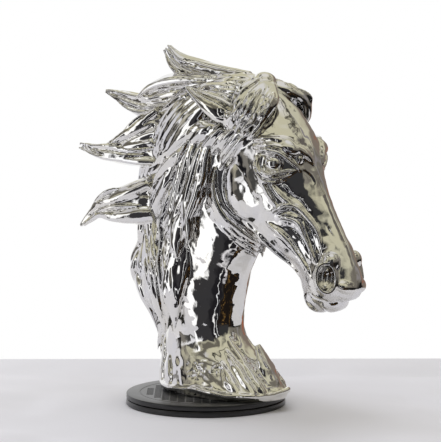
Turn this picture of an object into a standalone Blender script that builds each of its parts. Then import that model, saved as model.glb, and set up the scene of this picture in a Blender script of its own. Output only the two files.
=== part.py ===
"""A cast horse head with a wind-blown mane, standing on a round two-disc turntable.

The horse looks along +X, its left side is +Y, and +Z is up. The origin is on the
turntable's axis, at the underside of its lower disc.
"""

import math

import bmesh
import bpy
import numpy as np
from mathutils import Matrix, Vector

# Driving sizes, in metres
CASTING_HEIGHT = 0.552
DISC_DIAMETER = 0.250
LOWER_DISC_HEIGHT = 0.0088
UPPER_DISC_HEIGHT = 0.0078
GROOVE_HEIGHT = 0.0014
GROOVE_DEPTH = 0.006
RIM_ROUNDING = 0.0012
FOOT_FORWARD = 0.019
FOOT_LEFT = 0.017
TOUCH_GAP = 0.0003

# The casting is drawn in units: a unit is a 552nd of its height, a millimetre at full size.
# Levels in the drawing are counted from the table, and the foot is cut off flat above it.
UNITS_TALL = 552.0
FOOT_LEVEL = 18.0
UNIT = CASTING_HEIGHT / UNITS_TALL

# How finely the casting is fused and the stand is turned
VOXEL = 2.6 * UNIT
CASTING_TRIANGLES = 8000
DISC_STEPS = 80

# Face outline, one row a station from the poll to the lips, in units: where the section meets
# the front of the face (x, z), where it meets the jaw (x, z), and its half-widths at the
# brow, the cheekbone, the teeth and the jaw's edge
FACE_STATIONS = (
    (66, 500, 8, 450, 28, 36, 36, 28),
    (102, 495, 20, 424, 38, 43, 44, 38),
    (134, 470, 28, 392, 43, 50, 52, 46),
    (158, 440, 34, 356, 48, 57, 56, 48),
    (177, 407, 42, 317, 49, 59, 58, 48),
    (187, 376, 62, 282, 39, 53, 54, 42),
    (198, 345, 92, 253, 29, 44, 43, 32),
    (213, 314, 122, 238, 25, 35, 35, 24),
    (229, 285, 142, 226, 23, 31, 30, 19),
    (244, 260, 154, 213, 23, 31, 29, 19),
    (253, 239, 159, 199, 25, 34, 30, 21),
    (260, 221, 165, 186, 26, 36, 31, 22),
    (263, 205, 175, 175, 22, 33, 30, 22),
    (257, 192, 192, 166, 13, 23, 22, 16),
)
WIDTH_SHARES = (0.05, 0.35, 0.65, 0.95)

# Neck outline, one row a level from the foot up, in units: height, front x, back x, half-width
NECK_STATIONS = (
    (12, 120, -120, 67),
    (34, 110, -122, 65),
    (62, 89, -117, 59),
    (90, 52, -113, 54),
    (112, 38, -110, 51),
    (132, 35, -120, 49),
    (168, 41, -150, 47),
    (210, 52, -165, 47),
    (250, 72, -148, 47),
    (300, 80, -146, 48),
    (350, 86, -148, 48),
    (400, 92, -142, 46),
    (445, 96, -124, 41),
    (485, 90, -84, 31),
    (514, 70, -10, 14),
)


def units(x, y, z):
    """A point of the casting, from units in its drawing to metres."""
    return Vector((x, y, z)) * UNIT


def clear_scene():
    for thing in list(bpy.data.objects):
        bpy.data.objects.remove(thing)


def collection(name):
    made = bpy.data.collections.new(name)
    bpy.context.scene.collection.children.link(made)
    return made


def finish_material(name, color, metallic, roughness):
    material = bpy.data.materials.new(name)
    material.use_nodes = True
    shader = material.node_tree.nodes["Principled BSDF"]
    shader.inputs["Base Color"].default_value = (*color, 1.0)
    shader.inputs["Metallic"].default_value = metallic
    shader.inputs["Roughness"].default_value = roughness
    return material


def along(rows, count):
    """A smooth curve through rows of numbers, sampled at count places (Catmull-Rom)."""
    rows = np.asarray(rows, float)
    rows = np.vstack([2 * rows[0] - rows[1], rows, 2 * rows[-1] - rows[-2]])
    places = np.linspace(0, len(rows) - 3, count)
    first = np.minimum(places.astype(int), len(rows) - 4)
    t = (places - first)[:, None]
    a, b, c, d = (rows[first + k] for k in range(4))
    return 0.5 * (2 * b + (c - a) * t + (2 * a - 5 * b + 4 * c - d) * t**2 + (3 * b - a - 3 * c + d) * t**3)


def skin(name, rings):
    """A closed skin stretched over rings of points, with a flat face at each end."""
    count, around = len(rings), len(rings[0])
    points = [point for ring in rings for point in ring]
    faces = []
    for k in range(count - 1):
        for i in range(around):
            j = (i + 1) % around
            faces.append((k * around + i, k * around + j, (k + 1) * around + j, (k + 1) * around + i))
    faces.append(tuple(reversed(range(around))))
    faces.append(tuple(range((count - 1) * around, count * around)))
    data = bpy.data.meshes.new(name)
    data.from_pydata(points, [], faces)
    mesh = bmesh.new()
    mesh.from_mesh(data)
    bmesh.ops.recalc_face_normals(mesh, faces=mesh.faces)
    mesh.to_mesh(data)
    mesh.free()
    return placed(name, data)


def placed(name, data):
    made = bpy.data.objects.new(name, data)
    bpy.context.scene.collection.objects.link(made)
    return made


def ball(name, centre, radii, pitch=0.0, yaw=0.0):
    """An ellipsoid in units. Pitch tips its X axis nose down, yaw turns it left, in degrees."""
    mesh = bmesh.new()
    turn = Matrix.Rotation(math.radians(yaw), 4, "Z") @ Matrix.Rotation(math.radians(pitch), 4, "Y")
    size = Matrix.Diagonal((*(UNIT * r for r in radii), 1.0))
    place = Matrix.Translation(units(*centre))
    bmesh.ops.create_uvsphere(mesh, u_segments=28, v_segments=18, radius=1.0, matrix=place @ turn @ size)
    data = bpy.data.meshes.new(name)
    mesh.to_mesh(data)
    mesh.free()
    return placed(name, data)


def both_sides(make):
    """Makes a thing on the left, and again on the right."""
    return [make(side) for side in (1, -1)]


def tapered(name, path, width, thickness, outward, samples=16, taper=(0.55, 1.0, 0.85, 0.5, 0.08)):
    """A lock, ridge or rim: a flattened tube along a smooth path, in units.

    Its broad side faces outward, a function of a point, and taper scales it from root to tip.
    """
    line = along(path, samples)
    scale = along(np.array(taper)[:, None], samples)[:, 0].clip(0.05)
    tangents = np.gradient(line, axis=0)
    turns = np.linspace(0, 2 * math.pi, 12, endpoint=False)
    rings = []
    for point, tangent, size in zip(line, tangents, scale):
        tangent = tangent / np.linalg.norm(tangent)
        normal = np.asarray(outward(point), float)
        normal = normal - tangent * (normal @ tangent)
        normal = normal / max(np.linalg.norm(normal), 1e-6)
        across = np.cross(tangent, normal)
        ring = [point + size * (across * math.cos(t) * width + normal * math.sin(t) * thickness) for t in turns]
        rings.append([units(*p) for p in ring])
    return skin(name, rings)


def face_ring(row, around=40, boxiness=2.5):
    front_x, front_z, jaw_x, jaw_z, *widths = row
    curve = np.polyfit(WIDTH_SHARES, widths, 3)
    ring = []
    for turn in np.linspace(0, 2 * math.pi, around, endpoint=False):
        share = (1 - math.cos(turn)) / 2
        rounding = (1 - abs(2 * share - 1) ** boxiness) ** (1 / boxiness)
        half = np.polyval(curve, share) * rounding
        side = 1 if turn < math.pi else -1
        ring.append(units(front_x + (jaw_x - front_x) * share, side * half, front_z + (jaw_z - front_z) * share))
    return ring


def face():
    return skin("face", [face_ring(row) for row in along(FACE_STATIONS, 60)])


def on_face(side, x, z, lift=0.0):
    """A point on the side of the face, raised by lift, in units."""
    found = []
    for row in along(FACE_STATIONS, 60):
        found.extend(tuple(point / UNIT) for point in face_ring(row)[1:20])
    found = np.array(found)
    gaps = (found[:, 0] - x) ** 2 + (found[:, 2] - z) ** 2
    near = np.argsort(gaps)[:5]
    weights = 1 / (gaps[near] + 1)
    half = (found[near, 1] * weights).sum() / weights.sum()
    return np.array((x, side * (half + lift), z))


def neck_row(height):
    """Front x, back x and half-width of the neck at a height, in units."""
    table = np.array(NECK_STATIONS, float)
    return [np.interp(height, table[:, 0], table[:, k]) for k in (1, 2, 3)]


def neck_point(height, angle, lift=0.0):
    """A point on the neck: angle is 0 at the throat, 90 on the left and 180 at the crest."""
    front, back, half = neck_row(height)
    turn = math.radians(angle)
    x = (front + back) / 2 + ((front - back) / 2 + lift) * math.cos(turn)
    narrowing = 1 + 0.14 * math.cos(turn)
    return np.array((x, (half * narrowing + lift) * math.sin(turn), height))


def neck():
    rings = []
    for height in np.linspace(NECK_STATIONS[0][0], NECK_STATIONS[-1][0], 64):
        rings.append([units(*neck_point(height, angle)) for angle in range(0, 360, 9)])
    return skin("neck", rings)


def away_from_neck(point):
    """Outwards from the neck's middle at the point's height."""
    front, back, half = neck_row(point[2])
    x = (point[0] - (front + back) / 2) / ((front - back) / 2) ** 2
    return np.array((x, point[1] / half**2, 0.0))


def sideways(side):
    return lambda point: (0.25, side, 0.1)


def upwards(point):
    return (0.0, 0.0, 1.0)


def cheek(side):
    return ball("cheek", (86, side * 37, 345), (50, 22, 54), pitch=-25, yaw=side * 4)


def ridges(name, side, rows, taper):
    """Ridges on the side of the face: each a path of x, z and lift, with a half-width and a half-height."""
    made = []
    for k, (path, width, thickness) in enumerate(rows):
        path = [on_face(side, *place) for place in path]
        made.append(tapered(f"{name}_{k}", path, width, thickness, sideways(side), taper=taper))
    return made


def eye(side):
    """A ball under heavy lids, with creased brow ridges over it."""
    rows = (
        ([(121, 385, 1), (132, 396, 5), (148, 401, 9), (164, 396, 9), (177, 381, 6), (185, 368, 1)], 4.5, 6),
        ([(121, 383, 1), (133, 374, 3), (148, 370, 5), (163, 371, 5), (178, 374, 3)], 4.5, 5),
        ([(108, 394, 0), (126, 408, 5), (148, 415, 12), (167, 411, 16), (180, 396, 9)], 5, 7),
        ([(116, 374, 0), (130, 362, 1), (148, 357, 2), (166, 358, 1)], 4.5, 5),
    )
    made = ridges("lid", side, rows, taper=(0.6, 1.0, 1.0, 0.9, 0.5))
    made.append(ball("eye_ball", on_face(side, 149, 386, -4), (16, 12, 12)))
    made.append(ball("brow", on_face(side, 154, 403, -6), (29, 16, 15), pitch=28, yaw=side * -10))
    return made


def face_muscles(side):
    """The bony crest under the eye, the straps down to the nostril and the jaw's edge."""
    rows = (
        ([(122, 372, 0), (134, 350, 2), (150, 326, 2), (172, 300, 1), (196, 268, 0)], 8, 7),
        ([(148, 314, 0), (172, 308, 2), (194, 288, 2), (208, 262, 1), (214, 244, 0)], 7, 6),
        ([(132, 288, 0), (154, 262, 1), (174, 240, 1), (188, 222, 0)], 9, 6),
        ([(40, 366, -2), (42, 338, 2), (56, 312, 2), (80, 288, 1), (108, 268, -1)], 9, 8),
    )
    return ridges("strap", side, rows, taper=(0.5, 1.0, 0.9, 0.7, 0.4))


def nostril_frame(side):
    """The nostril's middle, and its directions up along the face, forwards and outwards."""
    centre = np.array((227.0, side * 36.5, 220.0))
    up = np.array((-0.16, 0.0, 0.99))
    fore = np.array((0.80, -side * 0.60, 0.13))
    return centre, up, fore, np.cross(up, fore) * side


def nostril(side):
    """A flared ring round a dark hollow, open forwards and outwards."""
    centre, up, fore, out = nostril_frame(side)
    rim = []
    for turn in np.linspace(0, 2 * math.pi, 9):
        rim.append(centre + up * 22 * math.cos(turn) + fore * 15 * math.sin(turn) + out * 4)
    return [
        tapered("nostril_rim", rim, 4.4, 4.4, lambda p: out, samples=28, taper=(1.0, 1.0, 1.0)),
        ball("nostril_flare", centre - out * 9, (20, 15, 27), pitch=8),
        ball("nostril_wing", centre - out * 3 + up * 18 + fore * 6, (13, 12, 15), pitch=20),
    ]


def nostril_hollow(side):
    centre, _, _, out = nostril_frame(side)
    return ball("nostril_hollow", centre + out * 6, (11.5, 14, 18.5), pitch=8, yaw=side * -33)


def lips():
    return [
        ball("upper_lip", (247, 0, 203), (19, 29, 19), pitch=30),
        ball("lower_lip", (219, 0, 172), (19, 23, 11), pitch=-8),
        ball("chin", (190, 0, 183), (26, 22, 24), pitch=30),
    ]


def mouth_line(side):
    path = [(252, 0, 180), (244, side * 14, 180), (226, side * 28, 184), (208, side * 32, 191), (194, side * 33, 199)]
    return tapered("mouth_line", path, 3, 9, sideways(side), taper=(1.2, 1.0, 0.9, 0.7, 0.3))


def ear_path(side, lift=0.0):
    points = ((56, 40, 450), (34, 50, 464), (8, 58, 479), (-23, 62, 496))
    return [(x, side * (y + lift), z + lift * 0.6) for x, y, z in points]


def ear_outward(side):
    return lambda point: (0.1, side * 0.85, 0.55)


def ear(side):
    """A laid-back ear: a long leaf that rolls over its own opening."""
    return tapered("ear", ear_path(side), 20, 13, ear_outward(side), taper=(0.75, 1.0, 0.85, 0.5, 0.1))


def ear_slit(side):
    path = [(x + 5, y, z + 5) for x, y, z in ear_path(side, 11)[:3]] + [ear_path(side, 6)[3]]
    return tapered("ear_slit", path, 3.4, 8, ear_outward(side), taper=(1.4, 1.0, 0.7, 0.3))


def forelock(side):
    """Locks parted over the forehead, which swing out and fall towards the temple."""
    made = [ball("forelock_root", (104, side * 17, 480), (26, 18, 18), pitch=40)]
    ends = ((102, 408), (88, 416), (72, 426), (54, 437))
    for k, (x, z) in enumerate(ends):
        path = [
            (94 - 6 * k, side * 3, 511 - 2 * k),
            (122 - 10 * k, side * (20 - k), 496 - 2 * k),
            (131 - 13 * k, side * 41, 468 - k),
            (119 - 14 * k, side * 52, 438 + k),
            on_face(side, x, z, 2),
        ]
        made.append(
            tapered(f"forelock_{k}", path, 5.6, 9, lambda p: (0.6, side * 0.7, 0.4), taper=(0.8, 1.0, 1.1, 0.8, 0.2))
        )
    return made


def tuft(name, spine, spread, strands=3):
    """A pointed sheaf of hair thrown back off the crest: strands that run together at its tip."""
    steps = 9
    line = along(spine, steps)
    tangents = np.gradient(line, axis=0)
    opening = (1 - np.linspace(0, 1, steps)) ** 0.8
    strand = 0.46 * spread
    made = []
    for k in range(strands):
        share = k / (strands - 1) * 2 - 1
        path = []
        for point, tangent, half in zip(line, tangents, opening):
            across = np.cross(tangent, (0.0, 1.0, 0.0))
            across = across / np.linalg.norm(across)
            stagger = np.array((0.0, 2.5 * (-1) ** k, 0.0))
            path.append(point + half * (across * share * (spread - strand) + stagger))
        taper = (0.9, 1.0, 0.8, 0.55, 0.1)
        made.append(tapered(f"{name}_{k}", path, strand, 11, lambda p: (0.0, 1.0, 0.0), taper=taper))
    return made


# Tufts thrown back off the crest: the spine of each, in units, and its half-height at the root.
# The first five stand on the side that is seen, the others on the left side.
TUFTS = (
    ([(50, 4, 494), (0, 4, 506), (-46, 2, 518), (-82, 0, 531), (-106, -1, 549), (-124, -2, 566)], 23),
    ([(-60, -14, 470), (-110, -18, 468), (-150, -20, 467), (-190, -22, 479), (-226, -24, 490)], 27),
    ([(-96, -28, 442), (-136, -38, 424), (-172, -47, 408), (-203, -54, 395)], 24),
    ([(-106, -34, 392), (-148, -42, 389), (-187, -50, 391), (-216, -56, 394), (-252, -60, 401)], 22),
    ([(-112, -34, 318), (-156, -45, 311), (-188, -52, 305), (-214, -56, 296), (-247, -60, 270)], 37),
    ([(-50, 26, 480), (-92, 34, 484), (-128, 42, 486), (-160, 48, 494)], 22),
    ([(-90, 32, 440), (-130, 44, 436), (-165, 52, 426), (-200, 58, 420)], 26),
    ([(-104, 34, 388), (-143, 46, 374), (-175, 54, 353), (-206, 60, 330)], 28),
    ([(-108, 32, 324), (-143, 44, 302), (-175, 52, 276), (-197, 56, 246)], 28),
)


def crest_tufts():
    made = [tuft(f"tuft_{k}", spine, spread) for k, (spine, spread) in enumerate(TUFTS)]
    hump = [(-10, -4, 500), (-60, -7, 502), (-112, -9, 498), (-150, -11, 482)]
    made.append(tapered("crest_hump", hump, 26, 13, upwards, taper=(0.7, 1.0, 1.0, 0.7)))
    return made


# Where the mane begins behind the ear, the jaw and down the neck: height and x, in units
HAIRLINE = ((120, -72), (150, -58), (190, -44), (240, -30), (300, -16), (340, -10), (400, 4), (450, 26), (480, 30))


def on_neck(side, x, z, lift):
    """A point on the side of the neck, raised by lift, in units."""
    front, back, half = neck_row(z)
    middle, depth = (front + back) / 2, (front - back) / 2
    cosine = min(0.98, max(-0.99, (x - middle) / depth))
    sine = math.sqrt(1 - cosine**2)
    reach = max(x, back - lift) if x < middle else x
    return np.array((reach, side * ((half * (1 + 0.14 * cosine)) * sine + lift * (0.4 + 0.6 * sine)), z))


def mane(side):
    """Locks that start behind the ear and jaw, sweep back over the neck and hang down it."""
    rng = np.random.default_rng(7 if side > 0 else 11)
    levels, starts = zip(*HAIRLINE)
    made = []
    for row in range(12):
        for column in range(6):
            z = 476 - 30 * row - 14 * (column % 2) + rng.uniform(-5, 5)
            x = np.interp(z, levels, starts) - 24 * column + rng.uniform(-5, 5)
            length = rng.uniform(72, 96)
            phase = 0.035 * z + 0.02 * x + rng.uniform(-0.4, 0.4)
            lift = rng.uniform(-2, 2)
            path = []
            steps = 9
            for k in range(steps):
                path.append(on_neck(side, x, z, lift - 5 + 18 * (k / (steps - 1)) ** 0.8))
                fall = 34 + 52 * min(1.0, max(0.0, (462 - z) / 190)) - 10 * column / 5
                fall += 17 * math.sin(phase + 4.6 * k / (steps - 1))
                x -= math.cos(math.radians(fall)) * length / (steps - 1)
                z -= math.sin(math.radians(fall)) * length / (steps - 1)
                z = max(z, 60.0)
            width = rng.uniform(8, 10.5)
            taper = (0.5, 1.0, 0.95, 0.7, 0.12)
            made.append(tapered(f"lock_{row}_{column}", path, width, 9.5, away_from_neck, taper=taper))
    return made


def crown():
    """Hair over the poll, combed straight back between the ears."""
    made = [
        ball("quiff", (84, 0, 505), (18, 17, 15), pitch=10),
        ball("poll", (20, 0, 472), (86, 42, 33), pitch=-8),
    ]
    for k, y in enumerate((-38, -27, -16, -5, 6, 17, 28, 38)):
        path = [
            (92 - abs(y) * 0.5, y * 0.6, 505 - abs(y) * 0.35),
            (54, y * 0.9, 513 - abs(y) * 0.75),
            (6, y * 1.05, 508 - abs(y) * 0.9),
            (-44, y * 1.15, 496 - abs(y)),
            (-96, y * 1.2, 474 - abs(y)),
        ]
        made.append(tapered(f"crown_{k}", path, 6, 8.5, upwards, taper=(0.7, 1.0, 1.0, 0.9, 0.3)))
    return made


def foot():
    """The spreading foot: a wavy hem, folds up the chest and a pointed fold in front."""
    hem = []
    for turn in np.linspace(0, 2 * math.pi, 25):
        x, y, _ = neck_point(20, math.degrees(turn), 0.0)
        hem.append((x, y, 24 + 3.5 * math.sin(3 * turn + 0.6)))
    made = [tapered("hem", hem, 6, 6, away_from_neck, samples=72, taper=(1.0, 1.0, 1.0))]
    front = [(103, 8, 16), (96, 7, 44), (84, 4, 70), (70, 0, 98)]
    made.append(tapered("front_fold", front, 22, 12, away_from_neck, taper=(1.0, 1.0, 0.8, 0.3)))
    folds = (
        (-30, 132, 10),
        (-50, 104, 12),
        (-72, 84, 11),
        (-118, 74, 12),
        (-152, 96, 13),
        (30, 132, 10),
        (50, 104, 12),
        (74, 84, 11),
        (120, 76, 12),
        (150, 92, 13),
    )
    for k, (angle, top, width) in enumerate(folds):
        levels = ((16, 1), (44, 2), (top * 0.75, 0), (top, -5))
        path = [neck_point(level, angle, lift) for level, lift in levels]
        made.append(tapered(f"fold_{k}", path, width, 7, away_from_neck, taper=(1.0, 0.9, 0.7, 0.3)))
    return made


def flat(things):
    """One list out of a list that holds objects and lists of them."""
    found = []
    for thing in things:
        found.extend(flat(thing) if isinstance(thing, list) else [thing])
    return found


def joined(name, pieces):
    pieces = flat(pieces)
    with bpy.context.temp_override(active_object=pieces[0], selected_editable_objects=pieces):
        bpy.ops.object.join()
    whole = pieces[0]
    whole.name = name
    whole.data.name = name
    return whole


def apply_modifiers(thing):
    """Gives the object its evaluated mesh, with no modifiers left."""
    graph = bpy.context.evaluated_depsgraph_get()
    data = bpy.data.meshes.new_from_object(thing.evaluated_get(graph))
    thing.modifiers.clear()
    thing.data = data


def fuse(thing, voxel):
    """One closed skin over all that overlaps, as clay is pressed together."""
    remesh = thing.modifiers.new("fuse", "REMESH")
    remesh.mode = "VOXEL"
    remesh.voxel_size = voxel


def cut(thing, cutter, name):
    difference = thing.modifiers.new(name, "BOOLEAN")
    difference.operation = "DIFFERENCE"
    difference.object = cutter


def keep_largest(thing):
    """Drops the crumbs and the sealed pockets that the fusing leaves."""
    mesh = bmesh.new()
    mesh.from_mesh(thing.data)
    unseen = set(mesh.verts)
    bodies = []
    while unseen:
        start = unseen.pop()
        body = [start]
        for vert in body:
            for edge in vert.link_edges:
                other = edge.other_vert(vert)
                if other in unseen:
                    unseen.discard(other)
                    body.append(other)
        bodies.append(body)
    bodies.sort(key=len)
    for body in bodies[:-1]:
        bmesh.ops.delete(mesh, geom=body, context="VERTS")
    mesh.to_mesh(thing.data)
    mesh.free()


def casting():
    """The head, neck, mane and foot, which are cast as one."""
    whole = joined(
        "horse_head",
        [
            face(),
            neck(),
            both_sides(cheek),
            both_sides(eye),
            both_sides(face_muscles),
            both_sides(nostril),
            both_sides(ear),
            both_sides(forelock),
            both_sides(mane),
            lips(),
            crown(),
            crest_tufts(),
            foot(),
        ],
    )
    hollows = joined("hollows", [both_sides(nostril_hollow), both_sides(ear_slit), both_sides(mouth_line)])
    fuse(hollows, VOXEL / 2)
    fuse(whole, VOXEL)
    cut(whole, hollows, "hollows")
    fuse(whole, VOXEL)
    smooth = whole.modifiers.new("smooth", "SMOOTH")
    smooth.factor = 0.5
    smooth.iterations = 3
    apply_modifiers(whole)
    bpy.data.objects.remove(hollows)
    keep_largest(whole)
    return whole


def below_foot():
    """A block that takes off all that is drawn below the foot."""
    size = 600 * UNIT
    mesh = bmesh.new()
    bmesh.ops.create_cube(mesh, size=size, matrix=Matrix.Translation((0, 0, FOOT_LEVEL * UNIT - size / 2)))
    data = bpy.data.meshes.new("below_foot")
    mesh.to_mesh(data)
    mesh.free()
    return placed("below_foot", data)


def facet(thing, triangles):
    """Fewer and larger facets, with the foot cut flat."""
    thinner = thing.modifiers.new("facet", "DECIMATE")
    thinner.ratio = triangles / sum(len(face.vertices) - 2 for face in thing.data.polygons)
    block = below_foot()
    cut(thing, block, "foot")
    apply_modifiers(thing)
    bpy.data.objects.remove(block)
    keep_largest(thing)


def turned(name, profile, parts):
    """A round piece, as a profile of radius and height swept round the stand's axis."""
    mesh = bmesh.new()
    points = [mesh.verts.new((x, 0, z)) for x, z in profile]
    for a, b in zip(points, points[1:]):
        mesh.edges.new((a, b))
    data = bpy.data.meshes.new(name)
    mesh.to_mesh(data)
    mesh.free()
    made = bpy.data.objects.new(name, data)
    parts.objects.link(made)
    screw = made.modifiers.new("turn", "SCREW")
    screw.steps = screw.render_steps = DISC_STEPS
    screw.use_merge_vertices = True
    screw.merge_threshold = 0.00005
    return made


def rim(low, high):
    """A disc's edge, rounded above and below."""
    radius = DISC_DIAMETER / 2
    r = RIM_ROUNDING
    return [(radius - r, high), (radius, high - r), (radius, low + r), (radius - r, low)]


def lower_disc(parts):
    """The disc that stands still, with a raised bearing face that carries the upper one."""
    bearing = DISC_DIAMETER / 2 - GROOVE_DEPTH
    face = LOWER_DISC_HEIGHT + GROOVE_HEIGHT - TOUCH_GAP
    middle = [(0, face), (bearing, face), (bearing, LOWER_DISC_HEIGHT)]
    return turned("stand_lower_disc", middle + rim(0, LOWER_DISC_HEIGHT) + [(0, 0)], parts)


def upper_disc(low, high, parts):
    """The disc that turns, with the casting on it."""
    return turned("stand_upper_disc", [(0, high)] + rim(low, high) + [(0, low)], parts)


def main():
    clear_scene()
    parts = collection("horse_head_sculpture")
    chrome = finish_material("chrome_plate", (0.80, 0.80, 0.79), 1.0, 0.05)
    black = finish_material("black_plastic", (0.02, 0.02, 0.022), 0.0, 0.35)
    stand_top = LOWER_DISC_HEIGHT + GROOVE_HEIGHT + UPPER_DISC_HEIGHT

    head = casting()
    facet(head, CASTING_TRIANGLES)
    bpy.context.scene.collection.objects.unlink(head)
    parts.objects.link(head)
    head.location = (FOOT_FORWARD, FOOT_LEFT, stand_top + TOUCH_GAP - FOOT_LEVEL * UNIT)
    head.data.materials.append(chrome)

    lower = lower_disc(parts)
    upper = upper_disc(LOWER_DISC_HEIGHT + GROOVE_HEIGHT, stand_top, parts)
    for plate in (lower, upper):
        plate.data.materials.append(black)


main()
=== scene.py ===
"""The looks of a chromed horse head with a wind-blown mane, on a round two-disc turntable.

The casting is one skin: a lofted face and neck with hair laid over them lock by lock, pressed
together, smoothed, carved along its creases and thinned. It is drawn in millimetres round its
own origin and moved onto the turntable at the end. The two discs are turned and grooved.
"""

import math

import bmesh
import bpy
import numpy as np
from mathutils import Matrix, Vector
from mathutils.bvhtree import BVHTree


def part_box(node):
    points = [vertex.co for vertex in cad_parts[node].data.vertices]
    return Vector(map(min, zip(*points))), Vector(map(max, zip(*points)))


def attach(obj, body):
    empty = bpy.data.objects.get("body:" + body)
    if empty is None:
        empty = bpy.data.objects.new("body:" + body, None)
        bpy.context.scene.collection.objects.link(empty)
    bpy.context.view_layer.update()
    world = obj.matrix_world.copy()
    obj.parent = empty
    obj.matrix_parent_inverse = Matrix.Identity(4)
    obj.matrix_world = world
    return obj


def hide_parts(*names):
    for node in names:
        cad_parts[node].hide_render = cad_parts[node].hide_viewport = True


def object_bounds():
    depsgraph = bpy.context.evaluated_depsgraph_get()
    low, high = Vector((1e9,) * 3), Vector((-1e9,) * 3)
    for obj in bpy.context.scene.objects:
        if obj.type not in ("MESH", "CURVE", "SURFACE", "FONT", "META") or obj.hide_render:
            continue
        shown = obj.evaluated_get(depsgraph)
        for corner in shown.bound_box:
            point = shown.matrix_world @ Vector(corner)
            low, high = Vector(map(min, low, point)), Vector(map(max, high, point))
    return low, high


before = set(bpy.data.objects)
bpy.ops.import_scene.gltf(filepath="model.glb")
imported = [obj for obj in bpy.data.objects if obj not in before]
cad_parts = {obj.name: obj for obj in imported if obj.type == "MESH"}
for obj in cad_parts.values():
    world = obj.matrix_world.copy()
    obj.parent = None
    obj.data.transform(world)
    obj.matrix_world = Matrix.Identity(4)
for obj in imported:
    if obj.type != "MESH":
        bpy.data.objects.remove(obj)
CAD_LOW, CAD_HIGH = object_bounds()
bpy.ops.object.select_all(action="DESELECT")

# The casting is drawn in millimetres from the table, and its foot stands on the upper disc
MM = 0.001
FOOT_LEVEL = 18.0
FOOT_FORWARD = 0.019
FOOT_LEFT = 0.017
HEAD_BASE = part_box("horse_head")[0].z
HEAD_PLACE = Vector((FOOT_FORWARD, FOOT_LEFT, HEAD_BASE - FOOT_LEVEL * MM))

# How finely the skin is pressed together, what it is thinned to, and the seed of the hair's unevenness
VOXEL = 1.3
SKIN_TRIANGLES = 190000
HAIR_SEED = 20

# Face outline, one row a station from the poll to the lips: where the section meets the front of
# the face (x, z), where it meets the jaw (x, z), and its half-widths from the brow to the jaw
FACE_STATIONS = (
    (66, 500, 8, 450, 28, 36, 36, 28),
    (102, 495, 20, 424, 38, 43, 44, 38),
    (134, 470, 28, 392, 43, 50, 52, 46),
    (158, 440, 34, 356, 48, 57, 56, 48),
    (177, 407, 42, 317, 49, 59, 58, 48),
    (187, 376, 62, 282, 39, 53, 54, 42),
    (198, 345, 92, 253, 29, 44, 43, 32),
    (213, 314, 122, 238, 25, 35, 35, 24),
    (229, 285, 142, 226, 23, 31, 30, 19),
    (244, 260, 154, 213, 23, 31, 29, 19),
    (253, 239, 159, 199, 25, 34, 30, 21),
    (260, 221, 165, 186, 26, 36, 31, 22),
    (263, 205, 175, 175, 22, 33, 30, 22),
    (257, 192, 192, 166, 13, 23, 22, 16),
)
WIDTH_SHARES = (0.05, 0.35, 0.65, 0.95)

# Neck outline, one row a level from the foot up: height, front x, back x, half-width
NECK_STATIONS = np.array(
    (
        (12, 113, -114, 64),
        (20, 116, -117, 67),
        (27, 116, -118, 67),
        (36, 108, -117, 64),
        (48, 98, -116, 60),
        (62, 86, -115, 55.5),
        (76, 70, -113, 51),
        (90, 54, -112, 47),
        (105, 42, -110, 44.5),
        (118, 36, -112, 44),
        (132, 35, -120, 45),
        (168, 41, -152, 47),
        (210, 52, -168, 47),
        (250, 72, -150, 47),
        (300, 80, -146, 48),
        (350, 86, -148, 48),
        (400, 92, -142, 46),
        (445, 96, -124, 41),
        (485, 90, -84, 31),
        (514, 70, -10, 14),
    ),
    float,
)

# How much wider the neck's section is towards the throat, and narrower towards the crest
THROAT_WIDENING = 0.14

# Where the mane begins behind the ear, the jaw and down the neck: height and x
HAIRLINE = np.array(
    (
        (120, -80),
        (150, -72),
        (190, -60),
        (240, -46),
        (300, -24),
        (340, -12),
        (400, 4),
        (450, 26),
        (480, 30),
    ),
    float,
)
# How steeply the mane falls, in degrees below level: height, fall at its front edge, fall at the crest
HAIR_FALL = np.array(
    (
        (60, 88, 90),
        (150, 88, 91),
        (200, 87, 94),
        (240, 86, 104),
        (280, 85, 98),
        (310, 85, 68),
        (340, 84, 36),
        (380, 82, 20),
        (430, 74, 12),
        (465, 48, 6),
        (500, 10, -4),
    ),
    float,
)


def along(rows, count):
    """A smooth curve through rows of numbers, sampled at count places (Catmull-Rom)."""
    rows = np.asarray(rows, float)
    rows = np.vstack([2 * rows[0] - rows[1], rows, 2 * rows[-1] - rows[-2]])
    places = np.linspace(0, len(rows) - 3, count)
    first = np.minimum(places.astype(int), len(rows) - 4)
    t = (places - first)[:, None]
    a, b, c, d = (rows[first + k] for k in range(4))
    return 0.5 * (2 * b + (c - a) * t + (2 * a - 5 * b + 4 * c - d) * t**2 + (3 * b - a - 3 * c + d) * t**3)


def unit(rows):
    """Each row at length 1."""
    return rows / np.maximum(np.linalg.norm(rows, axis=-1, keepdims=True), 1e-9)


def noise(u, v, seed):
    """Smooth seeded unevenness over a plane, between -1 and 1, with lumps about 1 wide."""
    table = np.random.default_rng(seed).uniform(-1, 1, (64, 64))
    a, b = np.floor(u).astype(int), np.floor(v).astype(int)
    s, t = u - a, v - b
    s, t = s * s * (3 - 2 * s), t * t * (3 - 2 * t)
    low = table[a % 64, b % 64] * (1 - s) + table[(a + 1) % 64, b % 64] * s
    high = table[a % 64, (b + 1) % 64] * (1 - s) + table[(a + 1) % 64, (b + 1) % 64] * s
    return low * (1 - t) + high * t


def strands(across, length, grain, seed):
    """Relief of combed hair, 1 on a strand and 0 in the crease beside it, from places in millimetres."""
    broad = np.abs(noise(across / (2 * grain), length / 70, seed)) ** 0.5
    fine = np.abs(noise(across / grain, length / 45, seed + 1)) ** 0.5
    return 0.55 * broad + 0.45 * fine


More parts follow.
